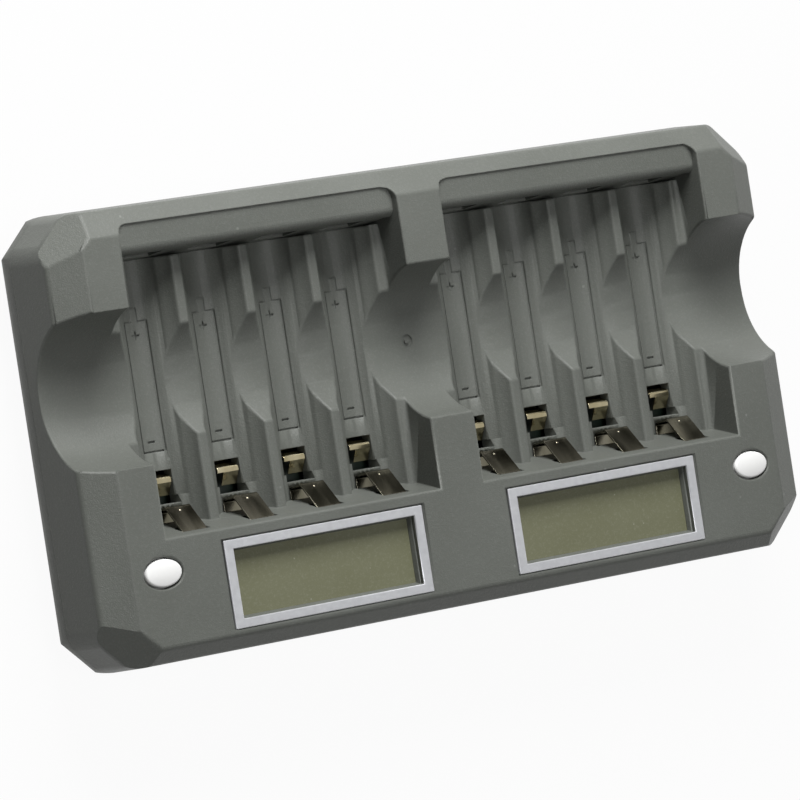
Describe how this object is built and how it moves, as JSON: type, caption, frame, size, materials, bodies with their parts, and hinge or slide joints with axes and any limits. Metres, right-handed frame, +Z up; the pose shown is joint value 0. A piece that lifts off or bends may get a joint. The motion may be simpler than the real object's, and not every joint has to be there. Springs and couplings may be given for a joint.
{
  "type": "battery charger",
  "caption": "Flat desktop charger for AA and AAA cells with two open cell bays, a finger scoop across them, sprung contacts, two displays and two oval push buttons.",
  "frame": {"origin": "on the resting surface, under the middle of the case", "axes": "+X along the length to the right, +Y to the rear where the positive ends lie, +Z up through the face"},
  "size_m": [0.1752, 0.0906, 0.0256],
  "materials": {
    "case_plastic": "fine moulded grain",
    "base_plastic": "fine moulded grain",
    "frame_silver": "satin silver paint",
    "lcd_face": "reflective display under a matt polariser",
    "connector_rubber": "soft",
    "button_white": "satin",
    "black_plastic": "moulded",
    "board_green": "solder mask",
    "capacitor_can": "sleeved",
    "coil_core": "ferrite",
    "screw_steel": "plated",
    "foot_rubber": "matt",
    "contact_nickel": "bright nickel plate"
  },
  "bodies": {
    "housing": {"top_cover": "case_plastic", "bottom_cover": "base_plastic", "display_frame_left": "frame_silver", "display_frame_right": "frame_silver", "lcd_panel_left": "lcd_face", "lcd_panel_right": "lcd_face", "lcd_connectors": "connector_rubber", "tact_switch_left": "black_plastic", "tact_switch_right": "black_plastic", "display_board": "board_green", "main_board": "board_green", "dc_jack": "black_plastic", "filter_capacitors": "capacitor_can", "power_coils": "coil_core", "cover_screws": "screw_steel", "board_screws": "screw_steel", "rubber_feet": "foot_rubber", "positive_contact_1": "contact_nickel", "positive_contact_2": "contact_nickel", "positive_contact_3": "contact_nickel", "positive_contact_4": "contact_nickel", "positive_contact_5": "contact_nickel", "positive_contact_6": "contact_nickel", "positive_contact_7": "contact_nickel", "positive_contact_8": "contact_nickel"},
    "button_left": {"button_left": "button_white"},
    "button_right": {"button_right": "button_white"},
    "aa_contact_1": {"aa_contact_1": "contact_nickel"},
    "aaa_contact_1": {"aaa_contact_1": "contact_nickel"},
    "aa_contact_2": {"aa_contact_2": "contact_nickel"},
    "aaa_contact_2": {"aaa_contact_2": "contact_nickel"},
    "aa_contact_3": {"aa_contact_3": "contact_nickel"},
    "aaa_contact_3": {"aaa_contact_3": "contact_nickel"},
    "aa_contact_4": {"aa_contact_4": "contact_nickel"},
    "aaa_contact_4": {"aaa_contact_4": "contact_nickel"},
    "aa_contact_5": {"aa_contact_5": "contact_nickel"},
    "aaa_contact_5": {"aaa_contact_5": "contact_nickel"},
    "aa_contact_6": {"aa_contact_6": "contact_nickel"},
    "aaa_contact_6": {"aaa_contact_6": "contact_nickel"},
    "aa_contact_7": {"aa_contact_7": "contact_nickel"},
    "aaa_contact_7": {"aaa_contact_7": "contact_nickel"},
    "aa_contact_8": {"aa_contact_8": "contact_nickel"},
    "aaa_contact_8": {"aaa_contact_8": "contact_nickel"}
  },
  "joints": [
    {"name": "button_left_press", "type": "slide", "parent": "housing", "child": "button_left", "axis": [0, 0, -1], "range_m": [0, 0.0006], "stiffness_N_per_m": 1000},
    {"name": "button_right_press", "type": "slide", "parent": "housing", "child": "button_right", "axis": [0, 0, -1], "range_m": [0, 0.0006], "stiffness_N_per_m": 1000},
    {"name": "aa_contact_1_flex", "type": "hinge", "parent": "housing", "child": "aa_contact_1", "pos_m": [-0.06232, -0.02, 0.01235], "axis": [1, 0, 0], "range_deg": [0, 10], "stiffness_Nm_per_rad": 0.06},
    {"name": "aaa_contact_1_flex", "type": "hinge", "parent": "housing", "child": "aaa_contact_1", "pos_m": [-0.06232, -0.0046, 0.0079], "axis": [1, 0, 0], "range_deg": [0, 8], "stiffness_Nm_per_rad": 0.06},
    {"name": "aa_contact_2_flex", "type": "hinge", "parent": "housing", "child": "aa_contact_2", "pos_m": [-0.04632, -0.02, 0.01235], "axis": [1, 0, 0], "range_deg": [0, 10], "stiffness_Nm_per_rad": 0.06},
    {"name": "aaa_contact_2_flex", "type": "hinge", "parent": "housing", "child": "aaa_contact_2", "pos_m": [-0.04632, -0.0046, 0.0079], "axis": [1, 0, 0], "range_deg": [0, 8], "stiffness_Nm_per_rad": 0.06},
    {"name": "aa_contact_3_flex", "type": "hinge", "parent": "housing", "child": "aa_contact_3", "pos_m": [-0.03032, -0.02, 0.01235], "axis": [1, 0, 0], "range_deg": [0, 10], "stiffness_Nm_per_rad": 0.06},
    {"name": "aaa_contact_3_flex", "type": "hinge", "parent": "housing", "child": "aaa_contact_3", "pos_m": [-0.03032, -0.0046, 0.0079], "axis": [1, 0, 0], "range_deg": [0, 8], "stiffness_Nm_per_rad": 0.06},
    {"name": "aa_contact_4_flex", "type": "hinge", "parent": "housing", "child": "aa_contact_4", "pos_m": [-0.01431, -0.02, 0.01235], "axis": [1, 0, 0], "range_deg": [0, 10], "stiffness_Nm_per_rad": 0.06},
    {"name": "aaa_contact_4_flex", "type": "hinge", "parent": "housing", "child": "aaa_contact_4", "pos_m": [-0.01431, -0.0046, 0.0079], "axis": [1, 0, 0], "range_deg": [0, 8], "stiffness_Nm_per_rad": 0.06},
    {"name": "aa_contact_5_flex", "type": "hinge", "parent": "housing", "child": "aa_contact_5", "pos_m": [0.01431, -0.02, 0.01235], "axis": [1, 0, 0], "range_deg": [0, 10], "stiffness_Nm_per_rad": 0.06},
    {"name": "aaa_contact_5_flex", "type": "hinge", "parent": "housing", "child": "aaa_contact_5", "pos_m": [0.01431, -0.0046, 0.0079], "axis": [1, 0, 0], "range_deg": [0, 8], "stiffness_Nm_per_rad": 0.06},
    {"name": "aa_contact_6_flex", "type": "hinge", "parent": "housing", "child": "aa_contact_6", "pos_m": [0.03032, -0.02, 0.01235], "axis": [1, 0, 0], "range_deg": [0, 10], "stiffness_Nm_per_rad": 0.06},
    {"name": "aaa_contact_6_flex", "type": "hinge", "parent": "housing", "child": "aaa_contact_6", "pos_m": [0.03032, -0.0046, 0.0079], "axis": [1, 0, 0], "range_deg": [0, 8], "stiffness_Nm_per_rad": 0.06},
    {"name": "aa_contact_7_flex", "type": "hinge", "parent": "housing", "child": "aa_contact_7", "pos_m": [0.04632, -0.02, 0.01235], "axis": [1, 0, 0], "range_deg": [0, 10], "stiffness_Nm_per_rad": 0.06},
    {"name": "aaa_contact_7_flex", "type": "hinge", "parent": "housing", "child": "aaa_contact_7", "pos_m": [0.04632, -0.0046, 0.0079], "axis": [1, 0, 0], "range_deg": [0, 8], "stiffness_Nm_per_rad": 0.06},
    {"name": "aa_contact_8_flex", "type": "hinge", "parent": "housing", "child": "aa_contact_8", "pos_m": [0.06232, -0.02, 0.01235], "axis": [1, 0, 0], "range_deg": [0, 10], "stiffness_Nm_per_rad": 0.06},
    {"name": "aaa_contact_8_flex", "type": "hinge", "parent": "housing", "child": "aaa_contact_8", "pos_m": [0.06232, -0.0046, 0.0079], "axis": [1, 0, 0], "range_deg": [0, 8], "stiffness_Nm_per_rad": 0.06}
  ]
}
